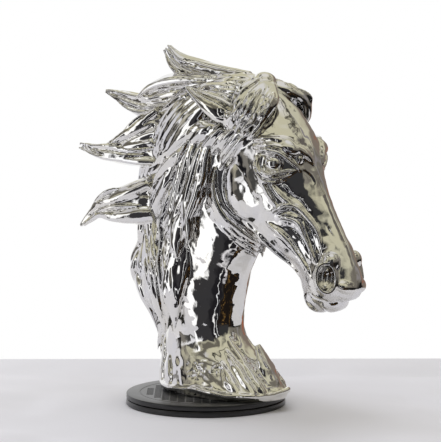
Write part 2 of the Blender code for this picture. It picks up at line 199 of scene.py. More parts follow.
def turn_of(yaw, pitch):
    """A turn in degrees: pitch tips +X down, then yaw turns it left."""
    turned = Matrix.Rotation(math.radians(yaw), 3, "Z")
    return np.array(turned @ Matrix.Rotation(math.radians(pitch), 3, "Y"))


def add_object(name, data):
    """An object in the scene that shows the data."""
    made = bpy.data.objects.new(name, data)
    bpy.context.scene.collection.objects.link(made)
    return made


# Millimetres between the rings of a lock, and between the points round a ring
RING_SPACING = 2.6
POINT_SPACING = 2.2


class Clay:
    """Closed skins heaped together, to be pressed into one body."""

    def __init__(self):
        self.points = []
        self.faces = []
        self.count = 0

    def add_rings(self, rings):
        """A tube through rings of points, closed at both ends by a fan."""
        rings = np.asarray(rings, float)
        steps, around, _ = rings.shape
        caps = np.array([rings[0].mean(0), rings[-1].mean(0)])
        self.points.append(np.vstack([rings.reshape(-1, 3), caps]))
        index = np.arange(steps * around).reshape(steps, around) + self.count
        beside = np.roll(index, -1, axis=1)
        quads = np.stack([index[:-1], beside[:-1], beside[1:], index[1:]], axis=-1).reshape(-1, 4)
        self.faces.extend(quads.tolist())
        start = self.count + steps * around
        self.faces.extend([(int(b), int(a), start) for a, b in zip(index[0], beside[0])])
        self.faces.extend([(int(a), int(b), start + 1) for a, b in zip(index[-1], beside[-1])])
        self.count += steps * around + 2

    def ball(self, centre, radii, yaw=0.0, pitch=0.0):
        """An ellipsoid, tipped and turned in degrees."""
        down = np.linspace(0.03, math.pi - 0.03, 20)[:, None]
        around = np.linspace(0, 2 * math.pi, 32, endpoint=False)[None, :]
        x, y, z = np.sin(down) * np.cos(around), np.sin(down) * np.sin(around), np.cos(down) + 0 * around
        shape = np.stack([x, y, z], axis=-1) * np.array(radii)
        self.add_rings(shape @ turn_of(yaw, pitch).T + np.array(centre))

    def lock(self, path, width, thickness, outward, taper, depth=0.0, grain=4.2, twist=0.0, seed=1):
        """A lock, ridge or rim: a flattened tube along a smooth path, its broad side outward.

        Its size follows the taper. Strands run along its outer side, as deep as depth and about as wide
        as grain, and it can turn over as far as twist.
        """
        rough = along(path, 40)
        reach = np.linalg.norm(np.diff(rough, axis=0), axis=1).sum()
        samples = int(min(90, max(12, reach / RING_SPACING)))
        girth = 3.4 * (width + thickness) * max(1.0, max(taper))
        around = int(min(72, max(14, girth / POINT_SPACING)))
        line = along(path, samples)
        scale = along(np.array(taper)[:, None], samples).clip(0.04)[:, :, None]
        tangents = unit(np.gradient(line, axis=0))
        normals = np.broadcast_to(np.asarray(outward(line), float), line.shape)
        normals = unit(normals - tangents * (normals * tangents).sum(-1, keepdims=True))
        across = np.cross(tangents, normals)
        roll = (twist * np.linspace(-1, 1, samples))[:, None]
        normals, across = (
            normals * np.cos(roll) + across * np.sin(roll),
            across * np.cos(roll) - normals * np.sin(roll),
        )
        turns = np.linspace(0, 2 * math.pi, around, endpoint=False)
        side, rise = np.cos(turns)[None, :], np.sin(turns)[None, :]
        groove = 0.0
        if depth:
            length = np.linspace(0, reach, samples)[:, None]
            relief = strands(side * width, length, grain, seed)
            groove = depth * (1 - relief) * np.abs(rise) ** 0.5 * np.sign(rise)
        out = (rise * thickness - groove)[:, :, None]
        rings = line[:, None] + scale * (across[:, None] * side[:, :, None] * width + normals[:, None] * out)
        self.add_rings(rings)

    def mesh(self, name):
        """All the skins as one object."""
        data = bpy.data.meshes.new(name)
        data.from_pydata(np.vstack(self.points).tolist(), [], self.faces)
        return add_object(name, data)


# Points round each section of the face, and how far it is from an ellipse, 2, towards a box
FACE_POINTS = 72
BOXINESS = 2.5


def face_ring(row):
    """The face's section at a station, between an ellipse and a box."""
    front_x, front_z, jaw_x, jaw_z, *widths = row
    curve = np.polyfit(WIDTH_SHARES, widths, 3)
    turn = np.linspace(0, 2 * math.pi, FACE_POINTS, endpoint=False)
    share = (1 - np.cos(turn)) / 2
    rounding = (1 - np.abs(2 * share - 1) ** BOXINESS).clip(0) ** (1 / BOXINESS)
    half = np.polyval(curve, share) * rounding * np.where(turn < math.pi, 1, -1)
    x = front_x + (jaw_x - front_x) * share
    z = front_z + (jaw_z - front_z) * share
    return np.stack([x, half, z], axis=-1)


FACE_RINGS = np.array([face_ring(row) for row in along(FACE_STATIONS, 110)])

# The face's width at a place is a mean of its nearest ring points, which fades with their squared distance
NEAR_POINTS = 30
NEAR_FADE = 40


def on_face(side, x, z, lift):
    """A point on the side of the face, raised by lift."""
    found = FACE_RINGS[:, 1 : FACE_POINTS // 2].reshape(-1, 3)
    gaps = (found[:, 0] - x) ** 2 + (found[:, 2] - z) ** 2
    near = np.argsort(gaps)[:NEAR_POINTS]
    weights = np.exp(-gaps[near] / NEAR_FADE)
    half = (found[near, 1] * weights).sum() / weights.sum()
    return np.array((x, side * (half + lift), z))


def neck_row(height):
    """Front x, back x and half-width of the neck at a height."""
    return [np.interp(height, NECK_STATIONS[:, 0], NECK_STATIONS[:, k]) for k in (1, 2, 3)]


def neck_point(height, angle, lift):
    """A point on the neck, raised by lift: angle is 0 at the throat, 90 on the left, 180 at the crest."""
    front, back, half = neck_row(height)
    turn = math.radians(angle)
    x = (front + back) / 2 + ((front - back) / 2 + lift) * math.cos(turn)
    widening = 1 + THROAT_WIDENING * math.cos(turn)
    return np.array((x, (half * widening + lift) * math.sin(turn), height))


def hairline(height):
    """Where the mane begins on the neck at a height."""
    return np.interp(height, HAIRLINE[:, 0], HAIRLINE[:, 1])


def away_from_neck(line):
    """Outwards from the neck's middle at each point's height."""
    front, back, half = neck_row(line[:, 2])
    x = (line[:, 0] - (front + back) / 2) / ((front - back) / 2) ** 2
    return np.stack([x, line[:, 1] / half**2, 0 * x], axis=-1)


def towards(x, y, z):
    """The same outward direction all along a lock."""
    return lambda line: (x, y, z)


def on_neck(side, x, z, lift):
    """A point on the side of the neck, raised by lift."""
    front, back, half = neck_row(z)
    middle, depth = (front + back) / 2, (front - back) / 2
    cosine = min(0.98, max(-0.99, (x - middle) / depth))
    sine = math.sqrt(1 - cosine**2)
    reach = max(x, back - lift) if x < middle else x
    widening = 1 + THROAT_WIDENING * cosine
    return np.array((reach, side * (half * widening * sine + lift * (0.4 + 0.6 * sine)), z))


def body_form(clay):
    """The plain face and neck, and the round of each cheek."""
    clay.add_rings(FACE_RINGS)
    heights = np.linspace(NECK_STATIONS[0, 0], NECK_STATIONS[-1, 0], 130)
    smooth = along(NECK_STATIONS, 200)
    rings = []
    for height in heights:
        front, back, half = (np.interp(height, smooth[:, 0], smooth[:, k]) for k in (1, 2, 3))
        turn = np.linspace(0, 2 * math.pi, 90, endpoint=False)
        x = (front + back) / 2 + (front - back) / 2 * np.cos(turn)
        y = half * (1 + THROAT_WIDENING * np.cos(turn)) * np.sin(turn)
        rings.append(np.stack([x, y, 0 * x + height], axis=-1))
    clay.add_rings(rings)
    for side in (1, -1):
        clay.ball((86, side * 37, 345), (50, 22, 54), pitch=-25)


def ridge(clay, side, path, width, thickness, taper):
    """A ridge on the side of the face, its path given as x, z and lift."""
    path = [on_face(side, *place) for place in path]
    clay.lock(path, width, thickness, towards(0.25, side, 0.1), taper=taper)


def eye(clay, side):
    """A ball under a straight heavy lid, with folds hung round it from below and a brow over it."""
    upper_lid = [(114, 401, 1), (126, 403, 6), (140, 402, 10), (153, 399, 11), (163, 391, 9)]
    upper_lid += [(170, 381, 5), (176, 371, 1)]
    lower_lid = [(126, 380, 4), (131, 371, 7), (140, 366, 8), (150, 368, 8), (158, 371, 6), (170, 372, 2)]
    inner_fold = [(121, 394, 3), (119, 382, 5), (124, 371, 6), (134, 363, 6), (147, 361, 6)]
    inner_fold += [(159, 365, 4), (167, 369, 2)]
    outer_fold = [(115, 392, 1), (113, 380, 3), (119, 367, 4), (130, 357, 4), (145, 355, 4), (159, 360, 2)]
    socket = [(108, 406, 0), (124, 410, 4), (140, 410, 8), (154, 407, 8), (166, 399, 5)]
    brow = [(106, 416, -1), (122, 419, 3), (138, 420, 6), (154, 417, 7), (168, 408, 4)]
    brow_edge = [(116, 412, -2), (140, 415, 3), (162, 409, 4), (178, 396, 2), (186, 380, -1)]
    rows = (
        (upper_lid, 3.2, 5.5),
        (lower_lid, 1.8, 5.0),
        (inner_fold, 1.9, 4.0),
        (outer_fold, 1.9, 3.5),
        (socket, 3.0, 7.0),
        (brow, 3.4, 7.0),
    )
    for path, width, thickness in rows:
        ridge(clay, side, path, width, thickness, (0.3, 1.0, 1.0, 0.9, 0.2))
    clay.ball(on_face(side, 141, 383, -1), (15, 12, 14))
    clay.ball(on_face(side, 171, 388, -1), (6, 5, 8), pitch=20)
    clay.ball(on_face(side, 152, 408, -4), (25, 15, 13), pitch=22, yaw=side * -10)
    ridge(clay, side, brow_edge, 6, 8, (0.2, 1, 1, 0.9, 0.1))
    clay.ball(on_face(side, 132, 409, -5), (22, 13, 11))


def face_muscles(clay, side):
    """The thin ridges and straps that run from the eye to the nostril, and the jaw's edge."""
    from_corner = [(116, 374, -2), (119, 366, 1), (128, 348, 2), (138, 330, 2), (147, 314, -1)]
    beside_it = [(123, 364, -2), (127, 355, 1), (135, 339, 2), (144, 322, 1), (150, 312, -1)]
    under_eye = [(132, 360, -2), (146, 344, 2), (158, 331, 3), (172, 320, 3), (188, 302, 2), (204, 276, -1)]
    upper_strap = [(130, 306, -3), (146, 315, 1), (162, 321, 3), (178, 317, 3)]
    upper_strap += [(196, 296, 2), (207, 276, 1), (214, 250, -1)]
    middle_strap = [(140, 300, -3), (158, 303, 1), (177, 296, 3), (187, 276, 3)]
    middle_strap += [(198, 252, 2), (207, 230, -1)]
    lower_strap = [(112, 300, -4), (132, 288, 0), (153, 274, 3), (169, 254, 3)]
    lower_strap += [(185, 231, 2), (199, 209, -1)]
    jaw_edge = [(84, 288, -3), (102, 270, 2), (122, 249, 3), (144, 229, 2), (164, 209, -1)]
    cheek_edge = [(40, 366, -2), (42, 338, 2), (56, 312, 2), (80, 288, 1), (108, 268, -1)]
    rows = (
        (from_corner, 2.0, 4.0),
        (beside_it, 2.0, 4.0),
        (under_eye, 3.6, 5.5),
        (upper_strap, 3.4, 6.0),
        (middle_strap, 3.6, 6.0),
        (lower_strap, 4.6, 6.0),
        (jaw_edge, 5.5, 5.5),
        (cheek_edge, 8.0, 8.0),
    )
    for path, width, thickness in rows:
        ridge(clay, side, path, width, thickness, (0.2, 1.0, 0.9, 0.7, 0.15))


def throat_folds(clay, side):
    """Folds that sweep from behind the cheek down under the jaw."""
    for k in range(4):
        path = [
            (24 - 5 * k, side * (45 - k), 372 - 8 * k),
            (23 - 4 * k, side * (47 - k), 340 - 8 * k),
            (32 - 3 * k, side * (45 - 2 * k), 312 - 9 * k),
            (50 - 2 * k, side * (36 - 2 * k), 288 - 9 * k),
            (74 - 2 * k, side * (20 - 2 * k), 266 - 8 * k),
            (84 - 3 * k, side * 6, 254 - 7 * k),
        ]
        clay.lock(path, 4.6, 6.5 - 0.6 * k, towards(-0.15, side, -0.3), taper=(0.3, 1.0, 1.0, 0.8, 0.15))


def nostril_frame(side):
    """The nostril's middle, and its directions up along the face, forwards and outwards."""
    centre = np.array((227.0, side * 36.5, 217.0))
    up = np.array((-0.16, 0.0, 0.99))
    fore = np.array((0.80, -side * 0.60, 0.13))
    return centre, up, fore, np.cross(up, fore) * side


def nostril(clay, side):
    """A flared ring round a dark hollow, open forwards and outwards."""
    centre, up, fore, out = nostril_frame(side)
    rim = []
    for turn in np.linspace(0, 2 * math.pi, 13):
        rim.append(centre + up * 22 * math.cos(turn) + fore * 14.5 * math.sin(turn) + out * 5)
    clay.lock(rim, 3.2, 4.2, towards(*out), taper=(1.0, 1.0, 1.0))
    clay.ball(centre - out * 9, (20, 15, 27), pitch=8)
    clay.ball(centre - out * 4 + up * 20 + fore * 8, (15, 13, 17), pitch=20)


def muzzle(clay):
    """The upper lip, the lower lip and the chin."""
    clay.ball((244, 0, 206), (20, 32, 14), pitch=28)
    clay.ball((240, 0, 194), (18, 25, 14), pitch=-20)
    clay.ball((216, 0, 178), (22, 24, 16), pitch=-14)
    clay.ball((190, 0, 183), (26, 22, 24), pitch=30)


def ear_path(side):
    """The ear's spine from its root to its tip."""
    points = ((56, 40, 450), (34, 50, 464), (8, 58, 479), (-23, 62, 496))
    return [(x, side * y, z) for x, y, z in points]


def ear(clay, side):
    """A laid-back ear: a long leaf that rolls over its own opening, with a fold behind it."""
    outward = towards(0.1, side * 0.85, 0.55)
    clay.lock(ear_path(side), 20, 13, outward, taper=(0.8, 1.05, 0.9, 0.5, 0.06))
    fades = (1.0, 0.9, 0.6, 0.1)
    upper = [(x + 4 * f, y + side * 6 * f, z + 11 * f) for (x, y, z), f in zip(ear_path(side), fades)]
    clay.lock(upper, 7.5, 6, outward, taper=(0.9, 1.1, 0.8, 0.45, 0.08))
    clay.ball((58, side * 44, 444), (15, 12, 13))
    for k in range(4):
        start = on_neck(side, 34 - 12 * k, 440 + 4 * k, 3)
        middle = on_neck(side, 4 - 16 * k, 428 + 2 * k, 9)
        end = on_neck(side, -36 - 18 * k, 398 + 2 * k, 4)
        clay.lock([start, middle, end], 10, 8, away_from_neck, taper=(0.4, 1.0, 0.15), depth=2, seed=40 + k)


def ear_slit(clay, side):
    """The long opening of the ear, to be cut away."""
    fades = (1.0, 0.9, 0.6, 0.3)
    path = [(x + 5 * f, y + side * 11 * f, z + 11 * f) for (x, y, z), f in zip(ear_path(side), fades)]
    clay.lock(path, 2.8, 9, towards(0.1, side * 0.85, 0.55), taper=(1.5, 1.1, 0.8, 0.4))


# The foremost and the rearmost lock over the left temple
FORELOCK_FRONT = (
    (98, 3, 499),
    (118, 20, 490),
    (130, 38, 474),
    (128, 50, 456),
    (119, 56, 440),
    (108, 58, 425),
    (98, 56, 414),
)
FORELOCK_REAR = (
    (78, 3, 506),
    (78, 24, 500),
    (68, 42, 484),
    (62, 49, 466),
    (56, 52, 452),
    (48, 50, 440),
    (40, 46, 430),
)


def forelock(clay, side, rng):
    """Locks parted over the forehead, which swing out and sweep back over the temple, under the ear."""
    clay.ball((98, side * 17, 474), (28, 18, 18), pitch=40)
    front = np.array(FORELOCK_FRONT)
    rear = np.array(FORELOCK_REAR)
    for k in range(7):
        share = k / 6
        path = front * (1 - share) + rear * share + rng.uniform(-2.5, 2.5, front.shape)
        path = path * (1, side, 1)
        width = rng.uniform(6, 9)
        taper = (0.8, 1.1, 1.0, 0.9, 0.7, 0.5, 0.1)
        twist = rng.uniform(-0.5, 0.5)
        outward = towards(0.6, side * 0.7, 0.4)
        clay.lock(path, width, 9, outward, taper=taper, depth=4.0, grain=5.5, twist=twist, seed=50 + k)
    for k in range(16):
        share = rng.uniform(0, 0.95)
        path = front * (1 - share) + rear * share + rng.uniform(-3, 3, front.shape) + (3, 6, 2)
        start = int(rng.integers(0, 4))
        path = path[start : start + 4] * (1, side, 1)
        twist = rng.uniform(-0.8, 0.8)
        clay.lock(path, 2.8, 5.6, towards(0.6, side * 0.7, 0.4), taper=(0.2, 1.0, 0.9, 0.1), twist=twist)
    for k in range(9):
        root = np.array((112 - 9.5 * k, 56 - 0.9 * k, 430 + 1.2 * k)) + rng.uniform(-3, 3, 3)
        reach = rng.uniform(0.85, 1.2)
        steps = ((0, 0, 0), (-22, 1, -17), (-44 * reach, -5, -36 * reach), (-62 * reach, -18, -52 * reach))
        path = (root + np.array(steps)) * (1, side, 1)
        twist = rng.uniform(-0.5, 0.5)
        clay.lock(path, 5.0, 5.5, towards(0.1, side, 0.2), taper=(0.3, 1.0, 0.9, 0.08), twist=twist)


def tuft(clay, spine, root, tip, rng):
    """A pointed sheaf of hair thrown back off the crest: locks that run together at its tip."""
    steps = 11
    line = along(spine, steps)
    tangents = np.gradient(line, axis=0)
    across = unit(np.cross(tangents, (0.0, 1.0, 0.0)))
    shares = np.linspace(0, 1, steps)
    opening = tip + (root - tip) * (1 - shares) ** 0.9
    count = 3 + int(root > 25)
    for k in range(count):
        place = k / (count - 1) * 2 - 1
        inner = 0 < k < count - 1
        tilt = 0.85 if k == 0 else rng.uniform(-0.35, 0.25)
        for face in (1, -1):
            wave = 0.10 * np.sin(5.5 * shares + 2.1 * k + face)
            path = line + across * (opening * (0.68 * place + wave))[:, None] + (0.0, face * 3.4, 0.0)
            end = max(0.12, 0.8 * tip / root)
            clay.lock(
                path,
                0.37 * root,
                rng.uniform(5.5, 7.0) if inner else rng.uniform(8.5, 10.5),
                towards(0.0, face, tilt),
                taper=(0.9, 1.0, 0.8, 0.6, max(end, 0.3), end),
                depth=4.5 if inner else 1.8,
                grain=5.0,
                twist=rng.uniform(-0.3, 0.3),
                seed=int(rng.integers(1000)),
            )
    for k in range(14):
        place = rng.uniform(-0.9, 0.9)
        first = int(rng.integers(0, 4))
        last = int(rng.integers(7, 11))
        face = 1 if k % 2 else -1
        bow = 1 + 0.3 * np.sin(5 * shares + rng.uniform(0, 6))
        path = line + across * (opening * place * bow)[:, None] + (0.0, face * 9.5, 0.0)
        path[:, 1] -= face * 5.0 * shares
        clay.lock(
            path[first:last],
            rng.uniform(2.2, 3.6),
            4.6,
            towards(0.0, face, rng.uniform(0, 0.6)),
            taper=(0.2, 1.0, 0.9, 0.1),
            twist=rng.uniform(-0.7, 0.7),
        )


# Tufts thrown back off the crest: the spine of each, in millimetres, and its half-height at the root
# and at the tip. The first five stand on the right side, the others on the left.
TUFTS = (
    ([(50, 4, 494), (0, 4, 506), (-46, 2, 520), (-80, 0, 531), (-100, -1, 545), (-112, -2, 558)], 24, 7),
    ([(-60, -14, 470), (-110, -18, 468), (-150, -20, 467), (-190, -22, 479), (-224, -24, 489)], 27, 3.5),
    ([(-96, -28, 442), (-136, -38, 424), (-172, -47, 408), (-200, -54, 397)], 24, 3),
    ([(-106, -34, 392), (-148, -42, 389), (-187, -50, 391), (-216, -56, 394), (-248, -60, 401)], 21, 5),
    ([(-112, -34, 318), (-156, -45, 311), (-188, -52, 305), (-214, -56, 296), (-247, -60, 270)], 37, 2),
    ([(-50, 26, 480), (-92, 34, 484), (-128, 42, 486), (-160, 48, 494)], 22, 2),
    ([(-90, 32, 440), (-130, 44, 436), (-165, 52, 426), (-200, 58, 420)], 26, 2),
    ([(-104, 34, 388), (-143, 46, 374), (-175, 54, 353), (-206, 60, 330)], 28, 2),
    ([(-108, 32, 324), (-143, 44, 302), (-175, 52, 276), (-197, 56, 246)], 28, 2),
)


def crest(clay, rng):
    """The tufts, and the hump of hair that they spring from."""
    for spine, root, tip in TUFTS:
        tuft(clay, spine, root, tip, rng)
    hump = [(-10, -4, 500), (-60, -7, 502), (-108, -9, 499), (-140, -11, 484)]
    clay.lock(hump, 26, 13, towards(0, 0, 1), taper=(0.7, 1.0, 1.0, 0.6), depth=3.5, seed=5)
    for _ in range(12):
        y = rng.uniform(-30, 14)
        path = [
            (rng.uniform(-40, 10), y, 512 - 0.2 * abs(y)),
            (-70, y * 1.1 - 3, 514 - 0.3 * abs(y)),
            (-112 + rng.uniform(-6, 6), y * 1.2 - 5, 508 - 0.4 * abs(y)),
            (-142 + rng.uniform(-6, 6), y * 1.2 - 8, 488 - 0.4 * abs(y)),
        ]
        width, twist = rng.uniform(2.5, 5), rng.uniform(-0.6, 0.6)
        clay.lock(path, width, 5, towards(0, 0, 1), taper=(0.2, 1.0, 1.0, 0.2), twist=twist)


def hair_run(side, x, z, length, low, high, rng, stop):
    """A lock's path from a root down to the stop at most, along the fall of the mane, its tip lifted off."""
    path = []
    steps = max(5, int(length / 11))
    phase = 0.030 * z + 0.015 * x + rng.uniform(-0.6, 0.6)
    swing = rng.uniform(8, 20)
    for k in range(steps):
        share = k / (steps - 1)
        path.append(on_neck(side, x, z, low + (high - low) * share**0.8))
        front = hairline(z)
        back = neck_row(z)[1]
        across = min(1.0, max(0.0, (front - x) / (front - back)))
        near, far = (np.interp(z, HAIR_FALL[:, 0], HAIR_FALL[:, c]) for c in (1, 2))
        across = min(1.0, 1.3 * across) ** 0.75
        fall = near + (far - near) * across + swing * math.sin(phase + 0.042 * length * share)
        x -= math.cos(math.radians(fall)) * length / (steps - 1)
        z -= math.sin(math.radians(fall)) * length / (steps - 1)
        if z < stop and k > 3:
            break
    return path


def mane(clay, side, rng):
    """Locks of all widths that start behind the ear and jaw, sweep back over the neck and hang down it."""
    for row in range(12):
        for column in range(6):
            z = 488 - 30 * row - 15 * (column % 2) + rng.uniform(-10, 10)
            width = rng.choice((7.0, 10.0, 13.0, 16.0)) * rng.uniform(0.85, 1.15)
            x = hairline(z) - 0.9 * width - 25 * column + rng.uniform(-9, 6)
            length, lift, stop = rng.uniform(110, 190), rng.uniform(7, 14), rng.uniform(95, 150)
            path = hair_run(side, x, z, length, -7, lift, rng, stop)
            clay.lock(
                path,
                width,
                rng.uniform(7.5, 10.5),
                away_from_neck,
                taper=(0.3, 0.8, 1.0, 0.95, 0.7, 0.08),
                depth=rng.choice((0.8, 1.6, 3.0)),
                twist=rng.uniform(-0.5, 0.5),
                grain=rng.uniform(5.0, 8.0),
                seed=int(rng.integers(1000)),
            )
    for k in range(4):
        root = (14 - 16 * k, side * (50 - 2 * k), 474 + 3 * k)
        path = [root] + [on_neck(side, root[0] - 34 * s, root[2] - 32 * s, 12 - s) for s in (1, 2, 3)]
        clay.lock(path, 13, 8, away_from_neck, taper=(0.4, 1.0, 0.9, 0.2), depth=1.2, twist=0.2, seed=30 + k)
    for k in range(6):
        levels = (440 - 6 * k, 400, 350, 300, 250, 210 - 12 * k)
        lifts = (-5, 3, 6 - k % 2, 5 + k % 2, 4, -5)
        path = []
        for z, lift in zip(levels, lifts):
            ahead = 12 * min(1.0, (z - 270) / 60)
            wave = 2.5 * math.sin(z / 17 + 2 * k)
            x = hairline(z) + ahead - 9.5 * k + wave
            path.append(on_neck(side, x, z, lift))
        taper = (0.2, 1.0, 1.0, 0.9, 0.6, 0.1)
        clay.lock(path, 5.8, 7, away_from_neck, taper=taper, depth=0.6, seed=80 + k)
    for k in range(70):
        z = rng.uniform(120, 482)
        x = hairline(z) - rng.uniform(26, 140)
        lift = rng.uniform(7, 13)
        path = hair_run(side, x, z, rng.uniform(50, 110), lift - 5, lift + 2, rng, rng.uniform(110, 150))
        clay.lock(
            path,
            rng.uniform(2.4, 4.4),
            5.0,
            away_from_neck,
            taper=(0.15, 1.0, 0.9, 0.7, 0.08),
            twist=rng.uniform(-0.8, 0.8),
        )
    for k in range(9):
        path = []
        turn = rng.uniform(150, 176)
        top, bottom = rng.uniform(250, 430), rng.uniform(125, 180)
        for z in np.linspace(top, bottom, 7):
            path.append(neck_point(z, side * (turn + 6 * math.sin(z / 24)), rng.uniform(0, 4)))
        clay.lock(path, 10, 8, away_from_neck, taper=(0.2, 1.0, 1.0, 0.8, 0.1), depth=3.2, seed=90 + k)


def nape(clay, rng):
    """Overlapping locks that hang down the back of the neck, between the tufts of both sides."""
    lifts = (-5, 6, 11, 14, 13)
    taper = (0.2, 1.0, 1.0, 0.7, 0.08)
    for k in range(26):
        turn = 180 + rng.uniform(-32, 32)
        top = 498 - 11 * k + rng.uniform(-10, 10)
        reach = rng.uniform(80, 130)
        path = []
        for share, lift in zip(np.linspace(0, 1, 5), lifts):
            z = top - reach * share
            path.append(neck_point(z, turn + 7 * math.sin(z / 19 + k), lift))
        width, twist = rng.uniform(5, 10), rng.uniform(-0.5, 0.5)
        clay.lock(path, width, 8, away_from_neck, taper=taper, depth=2.6, twist=twist, seed=110 + k)


def crown(clay, rng):
    """Hair over the poll, combed straight back between the ears in long wavy strands."""
    clay.ball((84, 0, 503), (19, 18, 16), pitch=10)
    clay.ball((20, 0, 470), (86, 42, 33), pitch=-8)
    taper = (0.3, 1.0, 1.0, 0.9, 0.2)
    for k in range(34):
        y = -39 + 78 * k / 33
        lift = rng.uniform(-1, 5)
        wave = rng.uniform(0, 6)
        path = []
        for x in np.linspace(90 - abs(y) * 0.7, rng.uniform(-110, -50), 9):
            top = 507 - 0.0018 * (x - 40) ** 2 - 0.012 * y * y - 0.16 * abs(y) + lift
            sway = 3.5 * math.sin(0.06 * x + wave)
            path.append((x, y * (1.05 - 0.0008 * x) + sway, top + 2.0 * math.sin(0.05 * x + 2 * wave)))
        twist = rng.uniform(-0.6, 0.6)
        clay.lock(path, rng.uniform(2.6, 4.4), 6.5, towards(0, y / 60, 1), taper=taper, twist=twist)


def foot(clay):
    """The spreading foot: a rolled wavy hem, broad folds up the chest and a pointed flap in front."""
    hem = []
    for turn in np.linspace(0, 2 * math.pi, 41):
        swell = 1.8 * math.sin(5 * turn + 0.6) + 1.0 * math.sin(8 * turn)
        x, y, _ = neck_point(24, math.degrees(turn), swell)
        hem.append((x, y, 27 + 2.4 * math.sin(4 * turn + 1.2) + 1.2 * math.sin(7 * turn)))
    clay.lock(hem, 4.2, 4.0, away_from_neck, taper=(1.0, 1.0, 1.0))
    front = [(100, 8, 22), (93, 7, 46), (82, 4, 70), (70, 0, 98)]
    clay.lock(front, 20, 10, away_from_neck, taper=(1.0, 1.0, 0.8, 0.3))
    folds = (
        (-24, 120, 6),
        (-36, 98, 7),
        (-52, 80, 9),
        (-128, 84, 14),
        (-150, 116, 13),
        (-170, 96, 13),
        (24, 120, 6),
        (38, 98, 8),
        (54, 78, 10),
        (96, 66, 18),
        (128, 88, 14),
        (152, 110, 13),
    )
    for angle, top, width in folds:
        levels = ((24, -2, 3), (44, -1, 0), (top * 0.75, -1, -3), (top, -5, -7))
        path = [neck_point(level, angle + turn, lift) for level, lift, turn in levels]
        clay.lock(path, width, 5, away_from_neck, taper=(0.9, 1.0, 0.8, 0.2))


def hollows(clay):
    """What is cut away: the nostrils, the ears' openings and three gaps a side in the crown's hair."""
    for side in (1, -1):
        centre, _, _, out = nostril_frame(side)
        clay.ball(centre + out * 6, (11.5, 14, 18.5), pitch=8, yaw=side * -33)
        ear_slit(clay, side)
        clay.ball((62, side * 43, 484), (17, 5, 6.5), pitch=-28, yaw=side * -12)
        clay.ball((77, side * 25, 509), (9, 5, 5), pitch=-20)
        clay.ball((42, side * 50, 436), (9, 5, 4), pitch=30)


def apply_all(thing):
    """Applies the object's modifiers in their order."""
    bpy.context.view_layer.objects.active = thing
    for modifier in list(thing.modifiers):
        bpy.ops.object.modifier_apply(modifier=modifier.name)


def press(thing):
    """Adds a remesh that makes one closed skin over all that overlaps, as clay is pressed together."""
    remesh = thing.modifiers.new("press", "REMESH")
    remesh.mode = "VOXEL"
    remesh.voxel_size = VOXEL


def coordinates(data):
    """The mesh's points, one a row."""
    found = np.empty(len(data.vertices) * 3)
    data.vertices.foreach_get("co", found)
    return found.reshape(-1, 3)


def set_coordinates(data, points):
    """Moves the mesh's points to new places."""
    data.vertices.foreach_set("co", points.ravel())
    data.update()


def normals_of(data):
    """The directions out of the mesh at its points, one a row."""
    found = np.empty(len(data.vertices) * 3)
    data.vertex_normals.foreach_get("vector", found)
    return found.reshape(-1, 3)


# How far each round of smoothing pulls the skin in, and then pushes it out
INWARD_STEP = 0.6
OUTWARD_STEP = -0.61


def relax(points, edges, weights, rounds):
    """Smooths each point among its neighbours by its weight, in and back out, which keeps the volume."""
    count = len(points)
    share = np.bincount(edges.ravel(), minlength=count).clip(1)[:, None]
    for k in range(rounds * 2):
        total = np.empty_like(points)
        for axis in range(3):
            column = points[:, axis]
            total[:, axis] = np.bincount(edges[:, 0], column[edges[:, 1]], count)
            total[:, axis] += np.bincount(edges[:, 1], column[edges[:, 0]], count)
        step = INWARD_STEP if k % 2 == 0 else OUTWARD_STEP
        points = points + (total / share - points) * weights[:, None] * step
    return points


# Where the skin keeps sharp forms: round the eye, the nostril and the ear's root, each with its reach
SHARP_PLACES = (((148, 56, 385), 42), ((227, 36, 220), 34), ((30, 50, 466), 50))


def skin_share(points):
    """1 on the bare face and neck, 0 in the hair, less near the eye and the nostril."""
    x, y, z = points.T
    share = ((x - hairline(z)) / 16).clip(0, 1)
    share *= ((x - 0.9 * (z - 440) - 92) / 14).clip(0, 1) * (z > 400) + (z <= 400)
    for centre, reach in SHARP_PLACES:
        gap = np.sqrt((x - centre[0]) ** 2 + (np.abs(y) - centre[1]) ** 2 + (z - centre[2]) ** 2)
        share *= (gap / reach - 0.4).clip(0, 1)
    return share


# How many waves make the casting's unevenness, and about how high they are together
WAVES = 14
WAVES_HEIGHT = 3.7


def ripples(points, size, seed):
    """Soft unevenness of a casting: sums of waves in seeded directions, about 1 high."""
    rng = np.random.default_rng(seed)
    total = np.zeros(len(points))
    for _ in range(WAVES):
        direction = unit(rng.normal(size=3)) * 2 * math.pi / (size * rng.uniform(0.7, 1.6))
        total += np.sin(points @ direction + rng.uniform(0, 6.28))
    return total / WAVES_HEIGHT


# Crumpled patches in the foot: middle and reach
CRUMPLED = (((-4, -58, 57), 13), ((36, -50, 63), 10), ((12, 55, 60), 12))


